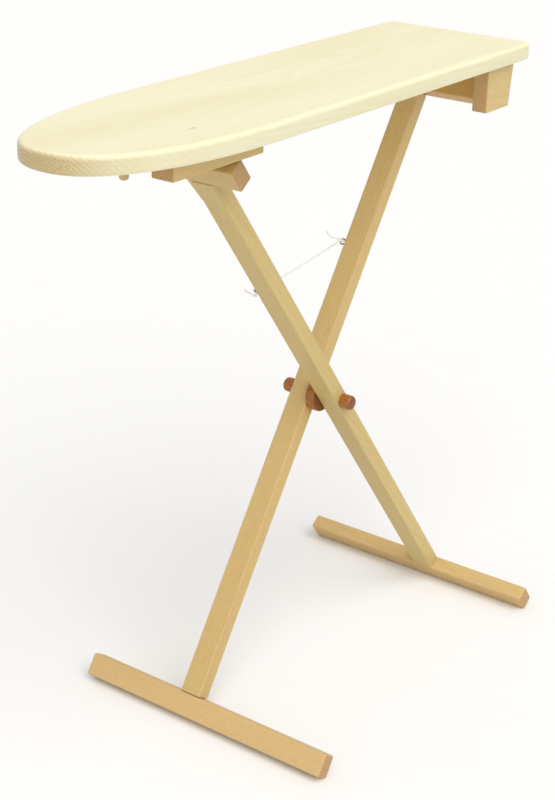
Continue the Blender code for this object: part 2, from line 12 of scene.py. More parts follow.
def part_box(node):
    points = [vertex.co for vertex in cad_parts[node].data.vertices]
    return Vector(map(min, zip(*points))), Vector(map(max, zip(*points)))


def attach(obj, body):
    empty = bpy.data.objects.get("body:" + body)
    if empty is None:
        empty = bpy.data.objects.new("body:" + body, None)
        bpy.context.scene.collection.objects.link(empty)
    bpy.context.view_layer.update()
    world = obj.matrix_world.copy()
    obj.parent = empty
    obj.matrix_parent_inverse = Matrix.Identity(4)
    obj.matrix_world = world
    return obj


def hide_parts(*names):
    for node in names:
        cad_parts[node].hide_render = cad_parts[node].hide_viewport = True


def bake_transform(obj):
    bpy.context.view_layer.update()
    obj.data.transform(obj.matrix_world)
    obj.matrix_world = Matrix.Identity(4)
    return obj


bl_info = {
    "name": "Folding Wooden Ironing Board",
    "version": (1, 0, 0),
    "blender": (4, 5, 0),
    "location": "3D View > Sidebar > Ironing Board",
    "description": "Builds the visible pieces of a small folding ironing board of solid wood",
    "category": "Object",
}

MM = 0.001
GAP = 0.3 * MM              # between pieces that touch
SAME = 0.001 * MM           # points closer than this are one point
CREASE = math.radians(38)   # faces that meet at more than this stay sharp
BLOCK_TAPER = 6.5 * MM      # how much further back a hinge block reaches at the board
BRACE_TOE = 4 * MM          # the brace block's thickness at its lower end
BRACE_ROUND = 0.75 * MM     # rounding of its arrises
SINK_DEPTH = 2.4 * MM       # depth of the cleats' countersinks
DOWEL_RING = 1.9 * MM       # between the dowels' growth rings
ROUTE_STEP = 0.7 * MM       # between the points of the cord's curve
CREASES = 0.14              # depth of the creases between plies, as a share of the radius

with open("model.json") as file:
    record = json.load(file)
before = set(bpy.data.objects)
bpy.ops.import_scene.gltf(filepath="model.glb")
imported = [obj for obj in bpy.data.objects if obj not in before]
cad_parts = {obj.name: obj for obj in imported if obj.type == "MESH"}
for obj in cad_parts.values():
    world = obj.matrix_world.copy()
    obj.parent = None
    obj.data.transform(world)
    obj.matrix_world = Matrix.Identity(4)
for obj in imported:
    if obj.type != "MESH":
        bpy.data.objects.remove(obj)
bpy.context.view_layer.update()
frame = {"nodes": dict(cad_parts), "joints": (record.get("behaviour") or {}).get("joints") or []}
nodes = frame["nodes"]
joints = {joint["name"]: joint for joint in frame["joints"]}


def middle(node):
    low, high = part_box(node)
    return (low + high) / 2


def leg_place(pivot, top):
    """A leg's own frame: its origin at the cross pivot, Z up the leg, and -X its front."""
    tilt = math.atan2(top.x - pivot.x, top.z - pivot.z)
    return Matrix.Translation(pivot) @ Matrix.Rotation(tilt, 4, "Y")


PIVOT = Vector(joints["leg_cross"]["pos_m"])
HINGE = Vector(joints["board_lift"]["pos_m"])
LEG_A = leg_place(PIVOT, HINGE)
LEG_B = leg_place(PIVOT, middle("leg_b_crossbar"))
LEVEL = Matrix.Translation(HINGE)
# Which way the grain runs, as the turn that lays a material's own Z along it
ALONG_X = Matrix.Rotation(math.pi / 2, 4, "Y")
ALONG_Y = Matrix.Rotation(-math.pi / 2, 4, "X")
ALONG_Z = Matrix.Identity(4)
SIDES = (("near", -1), ("far", 1))
CORNERS = ("near_front", "near_rear", "far_front", "far_rear")
# Each length of stock has its own tone: red, green and blue against the common colour. Leg A's
# crossbar is darkened and warmed as painted shade, for the board's shadow on it
STOCK_TONES_AND_PAINTED_SHADE = {
    "a": (0.98, 0.94, 0.9), "a_bar": (0.9, 0.76, 0.56), "a_foot": (1.03, 0.97, 1.03),
    "b": (0.93, 0.96, 0.9), "b_bar": (0.95, 0.93, 0.9), "b_foot": (1.03, 0.98, 1.0),
}

# The cord's route from leg A's knot to leg B's knot, and its tails, all from the cross pivot
CORD_ROUTE = (
    (0.0820, 0.0383, 0.1463), (0.0660, 0.0354, 0.1461), (0.0500, 0.0325, 0.1461),
    (0.0340, 0.0296, 0.1462), (0.0180, 0.0267, 0.1464), (0.0020, 0.0238, 0.1467),
    (-0.0140, 0.0209, 0.1471), (-0.0300, 0.0180, 0.1475), (-0.0460, 0.0151, 0.1481),
    (-0.0620, 0.0122, 0.1487), (-0.0780, 0.0093, 0.1494), (-0.0940, 0.0063, 0.1501),
    (-0.1080, 0.0038, 0.1508), (-0.1150, 0.0024, 0.1511), (-0.1186, 0.0019, 0.1509),
    (-0.1204, 0.0018, 0.1497),
)
TAIL_A_ROUTE = (
    (0.0829, 0.0406, 0.1480), (0.0796, 0.0423, 0.1489), (0.0752, 0.0443, 0.1511),
    (0.0716, 0.0458, 0.1545), (0.0692, 0.0468, 0.1582),
)
TAIL_B_ROUTE = (
    (-0.1242, 0.0042, 0.1493), (-0.1254, 0.0062, 0.1501), (-0.1266, 0.0082, 0.1513),
    (-0.1276, 0.0098, 0.1527),
)


def local_box(node, place):
    """A CAD node's lowest and highest corners in a place's own axes."""
    back = place.inverted()
    points = [back @ vert.co for vert in nodes[node].data.vertices]
    low = Vector(min(point[axis] for point in points) for axis in range(3))
    high = Vector(max(point[axis] for point in points) for axis in range(3))
    return low, high


def linear(hex_colour):
    """An sRGB hex colour as linear red, green and blue."""
    parts = [int(hex_colour[start:start + 2], 16) / 255 for start in (1, 3, 5)]
    return tuple(part / 12.92 if part <= 0.04045 else ((part + 0.055) / 1.055) ** 2.4
                 for part in parts)


def colour_prop(name, description, hex_colour):
    return FloatVectorProperty(name=name, description=description, subtype="COLOR", size=3,
                               min=0, max=1, default=linear(hex_colour))


def length_prop(name, description, millimetres):
    return FloatProperty(name=name, description=description, default=millimetres * MM, min=0,
                         subtype="DISTANCE", unit="LENGTH", precision=4)


# Settings that a user would change

class IroningBoardStage(bpy.types.PropertyGroup):
    """The camera, floor and lamps"""
    eye: FloatVectorProperty(name="Camera place", description="Where the camera stands", size=3,
                             subtype="TRANSLATION", unit="LENGTH",
                             default=(-1.31162, -0.94536, 1.04590))
    yaw: FloatProperty(name="Camera yaw", description="Which way the camera looks, from +X",
                       subtype="ANGLE", default=math.radians(35.69))
    pitch: FloatProperty(name="Camera pitch", description="How far the camera looks up",
                         subtype="ANGLE", default=math.radians(-23.51))
    roll: FloatProperty(name="Camera roll", description="How far the camera leans over",
                        subtype="ANGLE", default=math.radians(1.36))
    lens: FloatProperty(name="Lens", description="Focal length on a frame 36 mm on its long "
                        "side, in millimetres", default=75.8)
    floor_colour: colour_prop("Floor", "Matt pale studio floor", "#EDECEA")
    key_strength: FloatProperty(name="Key light", description="Wide soft light from above",
                                default=1.85, min=0)
    fill_strength: FloatProperty(name="Side light", description="Wider, softer light from the "
                                 "near side", default=0.38, min=0)
    sky_strength: FloatProperty(name="Surround", description="Light of the white surround",
                                default=0.68, min=0)


class IroningBoardTimber(bpy.types.PropertyGroup):
    """The wood, and the board's outline"""
    top_pale: colour_prop("Top, pale grain", "Early wood of the pale top", "#EEEAC9")
    top_dark: colour_prop("Top, dark grain", "Late wood of the pale top", "#E0D2A0")
    leg_pale: colour_prop("Legs, pale grain", "Early wood of the leg stock", "#CBB278")
    leg_dark: colour_prop("Legs, dark grain", "Late wood of the leg stock", "#B9985A")
    top_end: colour_prop("Top, end grain", "Cut end and nose of the pale top", "#D0B985")
    end_grain: colour_prop("End grain", "Cut ends, which soak up more oil", "#C09A63")
    dowel_pale: colour_prop("Dowels, pale grain", "Red-brown turned hardwood", "#AA6A20")
    dowel_dark: colour_prop("Dowels, dark grain", "Pores and late wood of it", "#7E4612")
    ring_width: length_prop("Ring width", "Space between growth rings", 3.2)
    nose_length: length_prop("Nose length", "Length that curves in to the nose", 223)
    nose_fullness: FloatProperty(name="Nose fullness", description="2 is an ellipse, more is "
                                 "squarer", default=2.3, min=1.5, max=6)
    rear_corner: length_prop("Rear corners", "Radius of the square end's corners", 12)
    top_round: length_prop("Top edge", "Rounding of the top edge", 5)
    under_round: length_prop("Under edge", "Rounding of the lower edge", 3)
    edge: length_prop("Arris", "Rounding on the edges of the leg stock", 1.5)
    foot_edge: length_prop("Foot arris", "Rounding on the edges of the foot bars", 2.6)


class IroningBoardFittings(bpy.types.PropertyGroup):
    """The turned pieces, the screws and the cord"""
    cap_round: length_prop("Cap rounding", "Rounding of the pivot caps' ends", 4)
    wire: length_prop("Eye wire", "Wire of the screw eyes", 1.6)
    steel: colour_prop("Steel", "Plain steel, gone dull", "#8E8A82")
    cord_diameter: length_prop("Cord", "Diameter of the cord", 2)
    lay_length: length_prop("Lay", "Length of one full twist of the cord", 9)
    plies: IntProperty(name="Plies", description="Strands twisted into the cord", default=3,
                       min=2, max=5)
    cotton: colour_prop("Cotton", "Washed white cotton", "#F2F3F0")


# Shader building

BLEND = {"data_type": "RGBA"}
MULTIPLY = {"data_type": "RGBA", "blend_type": "MULTIPLY"}


def feed(node, inputs):
    """Sets a node's inputs. Each is a value, a socket, or a node for its first output in use."""
    for key, source in inputs.items():
        if isinstance(source, bpy.types.Node):
            source = next(socket for socket in source.outputs if socket.enabled)
        if isinstance(source, bpy.types.NodeSocket):
            node.id_data.links.new(source, node.inputs[key])
        else:
            node.inputs[key].default_value = source


def add_node(tree, kind, inputs=None, stops=(), **settings):
    """Adds a shader node. Stops are the positions and grey levels of a colour ramp."""
    node = tree.nodes.new("ShaderNode" + kind)
    for key, value in settings.items():
        setattr(node, key, value)
    feed(node, inputs or {})
    if stops:
        elements = node.color_ramp.elements
        while len(elements) < len(stops):
            elements.new(0.5)
        for element, (position, level) in zip(elements, stops):
            element.position = position
            element.color = (level, level, level, 1)
    return node


def new_material(name, roughness, metallic=0.0):
    """A material with its node tree, its shader and its coordinates."""
    made = bpy.data.materials.new(name)
    made.use_nodes = True
    tree = made.node_tree
    shader = tree.nodes["Principled BSDF"]
    feed(shader, {"Roughness": roughness, "Metallic": metallic})
    return made, tree, shader, add_node(tree, "TexCoord")


def opaque(colour, share=1):
    """A colour with full alpha, darkened to a share of itself."""
    return (*(share * part for part in colour), 1)


def planed_wood(name, pale, dark, end, grain, pith, ring, roughness=0.46, knots=(), drift=0.5,
                fleck=0.22, figure=0.42, painted_side_shade=0.0):
    """Planed and oiled solid timber. Growth rings are cut from one round trunk, so long faces
    show stripes and arches and the ends show arcs. Fine fibres and short dark rays run along
    the grain. The end grain is darker, because it soaks up more oil.

    grain is the frame whose Z runs along the grain, and pith is the trunk's centre in it.
    Each knot is its place, its radius and how dark it is; the side shade is painted shade on
    faces that look sideways.
    """
    made, tree, shader, coords = new_material(name, roughness)
    turn = grain.to_3x3().inverted()
    place = add_node(tree, "Mapping", {"Vector": coords.outputs["Object"],
                                       "Location": -(turn @ grain.translation),
                                       "Rotation": turn.to_euler()})
    facing = add_node(tree, "Mapping", {"Vector": coords.outputs["Normal"],
                                        "Rotation": turn.to_euler()}, vector_type="VECTOR")

    # A slow bend of the trunk, 60 mm wide, 300 mm long and a few millimetres deep
    slow = add_node(tree, "Mapping", {"Vector": place, "Scale": (16, 16, 3.2)})
    bend = add_node(tree, "TexNoise", {"Vector": slow, "Scale": 1.0, "Detail": 2.0,
                                       "Roughness": 0.45})
    centred = add_node(tree, "VectorMath", {0: bend.outputs["Color"], 1: (0.5, 0.5, 0.5)},
                       operation="SUBTRACT")
    sway = add_node(tree, "VectorMath", {0: centred, "Scale": 0.016}, operation="SCALE")
    trunk = add_node(tree, "VectorMath", {0: place, 1: sway}, operation="ADD")

    def from_knot(centre, start, along):
        """The way from a knot's centre and its length. Less along draws the knot out longer."""
        local = grain.inverted() @ Vector(centre)
        away = add_node(tree, "VectorMath", {0: start, 1: local}, operation="SUBTRACT")
        squeezed = add_node(tree, "VectorMath", {0: away, 1: (1, 1, along)},
                            operation="MULTIPLY")
        return squeezed, add_node(tree, "VectorMath", {0: squeezed}, operation="LENGTH")

    # A pin knot pushes the rings aside round it
    for centre, radius, _ in knots:
        squeezed, reach = from_knot(centre, trunk, 0.4)
        near = add_node(tree, "MapRange", {"Value": reach, "From Max": radius * 7,
                                           "To Min": 1.0, "To Max": 0.0},
                        interpolation_type="SMOOTHSTEP")
        push = add_node(tree, "VectorMath", {0: squeezed, "Scale": near}, operation="SCALE")
        trunk = add_node(tree, "VectorMath", {0: trunk, 1: push}, operation="ADD")

    # Growth rings round the pith, and a taper that draws them into arches on flat faces
    from_pith = add_node(tree, "VectorMath", {0: trunk, 1: (*pith, 0)}, operation="SUBTRACT")
    flat = add_node(tree, "VectorMath", {0: from_pith, 1: (1, 1, 0)}, operation="MULTIPLY")
    radius_out = add_node(tree, "VectorMath", {0: flat}, operation="LENGTH")
    rise = add_node(tree, "SeparateXYZ", {"Vector": from_pith})
    taper = add_node(tree, "Math", {0: rise.outputs["Z"], 1: 0.03}, operation="MULTIPLY")
    distance = add_node(tree, "Math", {0: radius_out, 1: taper}, operation="ADD")
    count = add_node(tree, "Math", {0: distance, 1: ring}, operation="DIVIDE")
    year = add_node(tree, "Math", {0: count}, operation="FRACT")
    late = add_node(tree, "ValToRGB", {"Fac": year},
                    [(0.0, 0.0), (0.55, 0.25), (0.86, 1.0), (0.97, 0.75), (1.0, 0.0)])
    # Some years are darker than others
    years = add_node(tree, "TexNoise", {"W": count, "Scale": 0.37, "Detail": 1.0},
                     noise_dimensions="1D")
    weight = add_node(tree, "ValToRGB", {"Fac": years}, [(0.3, 0.2 * figure), (0.7, figure)])
    rings = add_node(tree, "Mix", {0: 1.0, 6: late, 7: weight}, **MULTIPLY)

    # Fibres 0.8 mm apart and 40 mm long, drawn a little coarser than real ones so they show
    fine = add_node(tree, "Mapping", {"Vector": place, "Scale": (1250, 1250, 28)})
    fibre = add_node(tree, "TexNoise", {"Vector": fine, "Scale": 1.0, "Detail": 3.0,
                                        "Roughness": 0.6})
    # Rays: dashes under 1 mm wide and 3 to 6 mm long
    short = add_node(tree, "Mapping", {"Vector": place, "Scale": (820, 820, 150)})
    dash = add_node(tree, "TexNoise", {"Vector": short, "Scale": 1.0, "Detail": 0.0})
    rays = add_node(tree, "ValToRGB", {"Fac": dash}, [(0.64, 0.0), (0.74, 1.0)])
    # Slow drift of colour over the plank, 60 mm wide and 300 mm long
    wide = add_node(tree, "Mapping", {"Vector": place, "Scale": (17, 17, 3.3)})
    cloud = add_node(tree, "TexNoise", {"Vector": wide, "Scale": 1.0, "Detail": 2.0})
    tone = add_node(tree, "ValToRGB", {"Fac": cloud}, [(0.35, 0.0), (0.68, drift)])

    warm = tuple(0.5 * a + 0.5 * b for a, b in zip(pale, dark))
    body = add_node(tree, "Mix", {0: tone, 6: opaque(pale), 7: opaque(warm)}, **BLEND)
    body = add_node(tree, "Mix", {0: rings, 6: body, 7: opaque(dark)}, **BLEND)
    streak = add_node(tree, "ValToRGB", {"Fac": fibre}, [(0.35, 1.0), (0.75, 0.0)])
    soft = add_node(tree, "Math", {0: streak, 1: 0.2}, operation="MULTIPLY")
    body = add_node(tree, "Mix", {0: soft, 6: body, 7: opaque(dark)}, **BLEND)
    ray_share = add_node(tree, "Math", {0: rays, 1: fleck}, operation="MULTIPLY")
    body = add_node(tree, "Mix", {0: ray_share, 6: body, 7: opaque(dark, 0.72)}, **BLEND)
    for centre, radius, strength in knots:
        _, reach = from_knot(centre, place, 0.6)
        spot = add_node(tree, "MapRange", {"Value": reach, "From Min": radius * 0.5,
                                           "From Max": radius * 1.5, "To Min": strength,
                                           "To Max": 0.0}, interpolation_type="SMOOTHSTEP")
        body = add_node(tree, "Mix", {0: spot, 6: body, 7: opaque(end, 0.7)}, **BLEND)

    # End grain
    split = add_node(tree, "SeparateXYZ", {"Vector": facing})
    across = add_node(tree, "Math", {0: split.outputs["Z"]}, operation="ABSOLUTE")
    cut_end = add_node(tree, "ValToRGB", {"Fac": across}, [(0.35, 0.0), (0.95, 1.0)])
    pores = add_node(tree, "ValToRGB", {"Fac": fibre}, [(0.4, 0.72), (0.62, 1.0)])
    end_rings = add_node(tree, "Mix", {0: late, 6: opaque(end), 7: opaque(end, 0.8)}, **BLEND)
    end_body = add_node(tree, "Mix", {0: 1.0, 6: end_rings, 7: pores}, **MULTIPLY)
    if painted_side_shade:
        # Painted shade: faces that look sideways, the board's edges and nose, are darkened
        # against its flat top and underside
        facing_up_mask = add_node(tree, "Math", {0: split.outputs["X"]}, operation="ABSOLUTE")
        painted_side_darkening = add_node(tree, "ValToRGB", {"Fac": facing_up_mask},
                             [(0.1, 1 - painted_side_shade), (0.75, 1.0)])
        body = add_node(tree, "Mix", {0: 1.0, 6: body, 7: painted_side_darkening}, **MULTIPLY)
    finished = add_node(tree, "Mix", {0: cut_end, 6: body, 7: end_body}, **BLEND)

    gloss = add_node(tree, "MapRange", {"Value": fibre, "To Min": roughness + 0.08,
                                        "To Max": roughness - 0.06})
    relief = add_node(tree, "Math", {0: rings, 1: 0.35}, operation="MULTIPLY")
    height = add_node(tree, "Math", {0: fibre, 1: relief}, operation="SUBTRACT")
    bump = add_node(tree, "Bump", {"Height": height, "Strength": 0.22, "Distance": 0.25 * MM})
    feed(shader, {"Base Color": finished, "Roughness": gloss, "Normal": bump})
    return made


def dull_steel(name, colour):
    """Plain drawn steel wire and screws, dulled by handling: a grey metal with soft glints."""
    made, tree, shader, coords = new_material(name, 0.38, 1.0)
    # Blotches 2 mm across
    blotch = add_node(tree, "TexNoise", {"Vector": coords.outputs["Object"], "Scale": 500.0,
                                         "Detail": 3.0})
    tint = add_node(tree, "ValToRGB", {"Fac": blotch}, [(0.35, 0.62), (0.7, 1.0)])
    tinted = add_node(tree, "Mix", {0: 1.0, 6: opaque(colour), 7: tint}, **MULTIPLY)
    rough = add_node(tree, "MapRange", {"Value": blotch, "To Min": 0.28, "To Max": 0.55})
    feed(shader, {"Base Color": tinted, "Roughness": rough})
    return made


def twisted_cotton(name, colour):
    """Twisted cotton cord: matt white yarn with a fine fuzz and greyer creases."""
    made, tree, shader, coords = new_material(name, 0.92)
    # Yarn hairs 0.3 mm apart
    hair = add_node(tree, "TexNoise", {"Vector": coords.outputs["Object"], "Scale": 3200.0})
    shade = add_node(tree, "ValToRGB", {"Fac": hair}, [(0.3, 0.88), (0.65, 1.0)])
    tinted = add_node(tree, "Mix", {0: 1.0, 6: opaque(colour), 7: shade}, **MULTIPLY)
    bump = add_node(tree, "Bump", {"Height": hair, "Strength": 0.35, "Distance": 0.12 * MM})
    feed(shader, {"Base Color": tinted, "Normal": bump, "Sheen Weight": 0.25,
                  "Sheen Roughness": 0.6})
    return made


def studio_floor(name, colour):
    """Matt white studio paper, with a faint tooth."""
    made, tree, shader, coords = new_material(name, 0.85)
    tooth = add_node(tree, "TexNoise", {"Vector": coords.outputs["Object"], "Scale": 900.0})
    bump = add_node(tree, "Bump", {"Height": tooth, "Strength": 0.05, "Distance": 0.2 * MM})
    feed(shader, {"Base Color": opaque(colour), "Normal": bump})
    return made


def leg_wood(piece, grain_turn, place, pith, tint=(1, 1, 1), **changes):
    """The honey-coloured stock of legs, bars, cleats and blocks, cut from its own trunk."""
    timber = bpy.context.scene.ironing_board_timber
    # The tint multiplies the colours: each stock's own tone, and on leg A's crossbar a painted
    # shade
    pale, dark, end = (tuple(part * share for part, share in zip(colour, tint))
                       for colour in (timber.leg_pale, timber.leg_dark, timber.end_grain))
    return planed_wood(piece + "_planed_beech", pale, dark, end, place @ grain_turn, pith,
                       timber.ring_width, **changes)


def dowel_wood(piece, grain_turn, place, pith):
    """Red-brown turned hardwood, with close rings and dark pores."""
    timber = bpy.context.scene.ironing_board_timber
    return planed_wood(piece + "_turned_hardwood", timber.dowel_pale, timber.dowel_dark,
                       [1.1 * part for part in timber.dowel_dark], place @ grain_turn, pith,
                       DOWEL_RING, roughness=0.38, fleck=0.7, figure=0.9)


# Mesh building

def mesh_of(bm, name):
    """Ends a bmesh as a mesh."""
    mesh = bpy.data.meshes.new(name)
    bm.to_mesh(mesh)
    bm.free()
    return mesh


def new_object(name, data):
    made = bpy.data.objects.new(name, data)
    bpy.context.scene.collection.objects.link(made)
    return made


def evaluated_mesh(item):
    """An object's mesh as its modifiers or its curve's settings leave it."""
    bpy.context.view_layer.update()
    graph = bpy.context.evaluated_depsgraph_get()
    return bpy.data.meshes.new_from_object(item.evaluated_get(graph))


def ease(bm, edges, offset, segments):
    """Rounds edges of a bmesh."""
    bmesh.ops.bevel(bm, geom=edges, offset=offset, segments=segments, profile=0.5,
                    affect="EDGES", material=-1)


def finished_piece(name, bm, place, body, stands_for, material):
    """Turns a bmesh in a place's own axes into a piece of the model that rides on a body."""
    bmesh.ops.remove_doubles(bm, verts=bm.verts, dist=SAME)
    bmesh.ops.transform(bm, matrix=place, verts=bm.verts)
    bmesh.ops.recalc_face_normals(bm, faces=bm.faces)
    return dress(new_object(name, mesh_of(bm, name)), body, stands_for, material)


def dress(piece, body, stands_for, material):
    """Gives a piece its material, slot and body, and hides the CAD nodes it stands for."""
    piece.data.materials.clear()
    piece.data.materials.append(material)
    piece.data.shade_smooth()
    piece.data.set_sharp_from_angle(angle=CREASE)
    even = piece.modifiers.new("even_shading", "WEIGHTED_NORMAL")
    even.keep_sharp = True
    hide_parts(*stands_for)
    if body:
        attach(piece, body)
    return piece


def rod_into(bm, start, end, diameter, segments=48):
    """Adds a straight rod between two points."""
    start, end = Vector(start), Vector(end)
    turn = (end - start).to_track_quat("Z", "Y").to_matrix().to_4x4()
    bmesh.ops.create_cone(bm, cap_ends=True, segments=segments, radius1=diameter / 2,
                          radius2=diameter / 2, depth=(end - start).length,
                          matrix=Matrix.Translation((start + end) / 2) @ turn)


def drilled(piece, place, holes):
    """Cuts holes, each (start, end, diameter) in a place's own axes, out of a piece."""
    bm = bmesh.new()
    for start, end, diameter in holes:
        rod_into(bm, start, end, diameter, 32)
    bmesh.ops.transform(bm, matrix=place, verts=bm.verts)
    cut_out(piece, bm)


def cut_out(piece, bm):
    """Cuts a bmesh's solids out of a piece for good, and leaves nothing behind."""
    mesh = mesh_of(bm, "drill")
    drill = new_object("drill", mesh)
    cut = piece.modifiers.new("cut", "BOOLEAN")
    cut.operation = "DIFFERENCE"
    cut.solver = "MANIFOLD"
    cut.object = drill
    piece.modifiers.move(len(piece.modifiers) - 1, 0)
    even = piece.modifiers["even_shading"]
    even.show_viewport = False
    made = evaluated_mesh(piece)
    piece.modifiers.remove(cut)
    even.show_viewport = True
    old = piece.data
    piece.data = made
    bpy.data.meshes.remove(old)
    bpy.data.objects.remove(drill)
    bpy.data.meshes.remove(mesh)
    made.name = piece.name
    made.set_sharp_from_angle(angle=CREASE)


def cube_between(low, high):
    bm = bmesh.new()
    bmesh.ops.create_cube(bm, size=1, matrix=Matrix.Translation((low + high) / 2)
                          @ Matrix.Diagonal((*(high - low), 1)))
    return bm


def turned(profile, start, direction, steps=64):
    """A turned solid as a bmesh. The profile is (radius, height) pairs from axis to axis."""
    bm = bmesh.new()
    line = [bm.verts.new((radius, 0, height)) for radius, height in profile]
    edges = [bm.edges.new(pair) for pair in zip(line, line[1:])]
    bmesh.ops.spin(bm, geom=line + edges, cent=(0, 0, 0), axis=(0, 0, 1), angle=math.tau,
                   steps=steps, use_merge=True)
    bmesh.ops.remove_doubles(bm, verts=bm.verts, dist=SAME)
    bmesh.ops.recalc_face_normals(bm, faces=bm.faces)
    turn = Vector(direction).to_track_quat("Z", "Y").to_matrix().to_4x4()
    bmesh.ops.transform(bm, matrix=Matrix.Translation(Vector(start)) @ turn, verts=bm.verts)
    return bm


def round_rims(bm, radius, share, keep=None):
    """Rounds the sharp rims of a turned solid by a share of its radius."""
    ease(bm, [edge for edge in bm.edges if edge.calc_face_angle(0) > math.radians(50)
              and (keep is None or keep(edge))], radius * share, 5)


def stick(name, place, body, grain_turn, pith, rounding=None, **changes):
    """A length of planed stock, the size of its CAD node, with eased edges."""
    timber = bpy.context.scene.ironing_board_timber
    bm = cube_between(*local_box(name, place))
    ease(bm, bm.edges, rounding or timber.edge, 4)
    return finished_piece(name + "_wood", bm, place, body, [name],
                          leg_wood(name, grain_turn, place, pith, **changes))


def smooth_route(route, step):
    """Points on the Catmull-Rom curve through a route's points."""
    knots = [Vector(point) for point in route]
    knots = [2 * knots[0] - knots[1]] + knots + [2 * knots[-1] - knots[-2]]
    points = []
    for first, start, end, last in zip(knots, knots[1:], knots[2:], knots[3:]):
        count = max(1, round((end - start).length / step))
        for index in range(count):
            share = index / count
            points.append(0.5 * (2 * start + (end - first) * share
                                 + (2 * first - 5 * start + 4 * end - last) * share ** 2
                                 + (3 * start - first - 3 * end + last) * share ** 3))
    return points + [knots[-2]]


def swept(name, points, section, turns_per_metre=0.0, closed=False):
    """A mesh made by drawing a round or lobed section along points, twisting as it goes."""
    curve = bpy.data.curves.new(name, "CURVE")
    curve.dimensions = "3D"
    curve.twist_mode = "MINIMUM"
    curve.bevel_mode = "OBJECT"
    curve.bevel_object = section
    curve.use_fill_caps = not closed
    spline = curve.splines.new("POLY")
    spline.points.add(len(points) - 1)
    travelled = 0.0
    for index, (item, point) in enumerate(zip(spline.points, points)):
        if index:
            travelled += (point - points[index - 1]).length
        item.co = (*point, 1)
        item.tilt = math.tau * travelled * turns_per_metre
    spline.use_cyclic_u = closed
    holder = new_object(name + "_curve", curve)
    mesh = evaluated_mesh(holder)
    mesh.name = name
    bpy.data.objects.remove(holder)
    bpy.data.curves.remove(curve)
    bm = bmesh.new()
    bm.from_mesh(mesh)
    bmesh.ops.remove_doubles(bm, verts=bm.verts, dist=SAME / 10)
    bmesh.ops.recalc_face_normals(bm, faces=bm.faces)
    bm.to_mesh(mesh)
    bm.free()
    return mesh


def section_curve(name, radius, lobes=0, depth=0.0, points=24):
    """A closed flat outline to sweep: a circle, or one with a lobe for each ply."""
    curve = bpy.data.curves.new(name, "CURVE")
    spline = curve.splines.new("POLY")
    spline.points.add(points - 1)
    for index, item in enumerate(spline.points):
        angle = index / points * math.tau
        reach = radius * (1 - depth * (0.5 - 0.5 * math.cos(lobes * angle)))
        item.co = (reach * math.cos(angle), reach * math.sin(angle), 0, 1)
    spline.use_cyclic_u = True
    return new_object(name, curve)


def drop(*helpers):
    """Removes section outlines once they have been swept."""
    for helper in helpers:
        curve = helper.data
        bpy.data.objects.remove(helper)
        bpy.data.curves.remove(curve)


# The cord: a twisted cotton cord between the two screw eyes, knotted at each

def overhand(middle_at, radius, turn):
    """Centreline of a tight overhand knot about a point."""
    points = []
    for step in range(60):
        angle = step / 60 * math.tau
        point = Vector((math.sin(angle) + 2 * math.sin(2 * angle),
                        math.cos(angle) - 2 * math.cos(2 * angle), -1.15 * math.sin(3 * angle)))
        points.append(Vector(middle_at) + turn @ (point * radius / 3))
    return points


def eye_ring(node):
    """Middle of a screw eye's ring, from its CAD node: the wire's loop stands on its far side."""
    place = LEG_A if node.endswith("a") else LEG_B
    low, high = local_box(node, place)
    radius = (high.z - low.z) / 2
    return Vector(((low.x + high.x) / 2, high.y - radius, (low.z + high.z) / 2)), radius, place


class IRONINGBOARD_OT_cord(bpy.types.Operator):
    """Makes the twisted cotton cord, its two knots and their loose ends"""
    bl_idname = "ironing_board.cord"
    bl_label = "Cord"

    def execute(self, context):
        fittings = context.scene.ironing_board_fittings
        cotton = twisted_cotton("washed_twisted_cotton", fittings.cotton)
        radius = fittings.cord_diameter / 2
        ply = section_curve("ply_section", radius * 1.14, fittings.plies, CREASES, 30)
        # Drawn tight in the knots, the cord is thinner
        thin = section_curve("knot_section", radius * 0.92, fittings.plies, CREASES, 18)
        twist = 1 / fittings.lay_length
        path = [PIVOT + point for point in smooth_route(CORD_ROUTE, ROUTE_STEP)]
        tails = {"a": (TAIL_A_ROUTE, radius * 1.5), "b": (TAIL_B_ROUTE, radius * 1.2)}
        for letter in ("a", "b"):
            body = "leg_" + letter
            node = "cord_knot_" + letter
            low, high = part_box(node)
            knot_at = (low + high) / 2
            centre, ring_radius, place = eye_ring("cord_eye_" + letter)
            turn = place.to_3x3() @ Matrix.Rotation(math.radians(62), 3, "Y")
            winding = overhand(knot_at, (high.x - low.x) / 2 - radius * 0.84, turn)
            bm = bmesh.new()
            bm.from_mesh(swept(node, winding, thin, twist, closed=True))
            tail, end_radius = tails[letter]
            line = [PIVOT + point for point in smooth_route(tail, ROUTE_STEP)]
            bm.from_mesh(swept("tail", line, thin, twist))
            end = Matrix.Translation(line[-1]) @ Matrix.Diagonal((1, 1, 0.8, 1))
            bmesh.ops.create_icosphere(bm, subdivisions=3, radius=end_radius, matrix=end)
            if letter == "a":
                # A loop holds the cord to the eye's wire. At leg B the knot stops it
                wire = place @ (centre + Vector((-ring_radius * 0.72, 0, 0)))
                away = wire - knot_at
                side = away.cross(place.to_3x3() @ Vector((0, 0, 1))).normalized() * radius * 1.3
                loop = [knot_at + side, wire + side * 0.9 + away * 0.25, wire + away * 0.95,
                        wire - side * 0.9 + away * 0.25, knot_at - side]
                bm.from_mesh(swept("loop", smooth_route(loop, 0.6 * MM), thin, twist))
            finished_piece("overhand_knot_" + letter, bm, Matrix.Identity(4),
                                           body, [node, "cord_tail_" + letter],
                                           cotton)
        cord = new_object("tie_cord", swept("tie_cord", path, ply, twist))
        dress(cord, None, ["spread_cord"], cotton)
        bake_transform(cord)
        drop(ply, thin)
        return {"FINISHED"}


# The wooden pieces

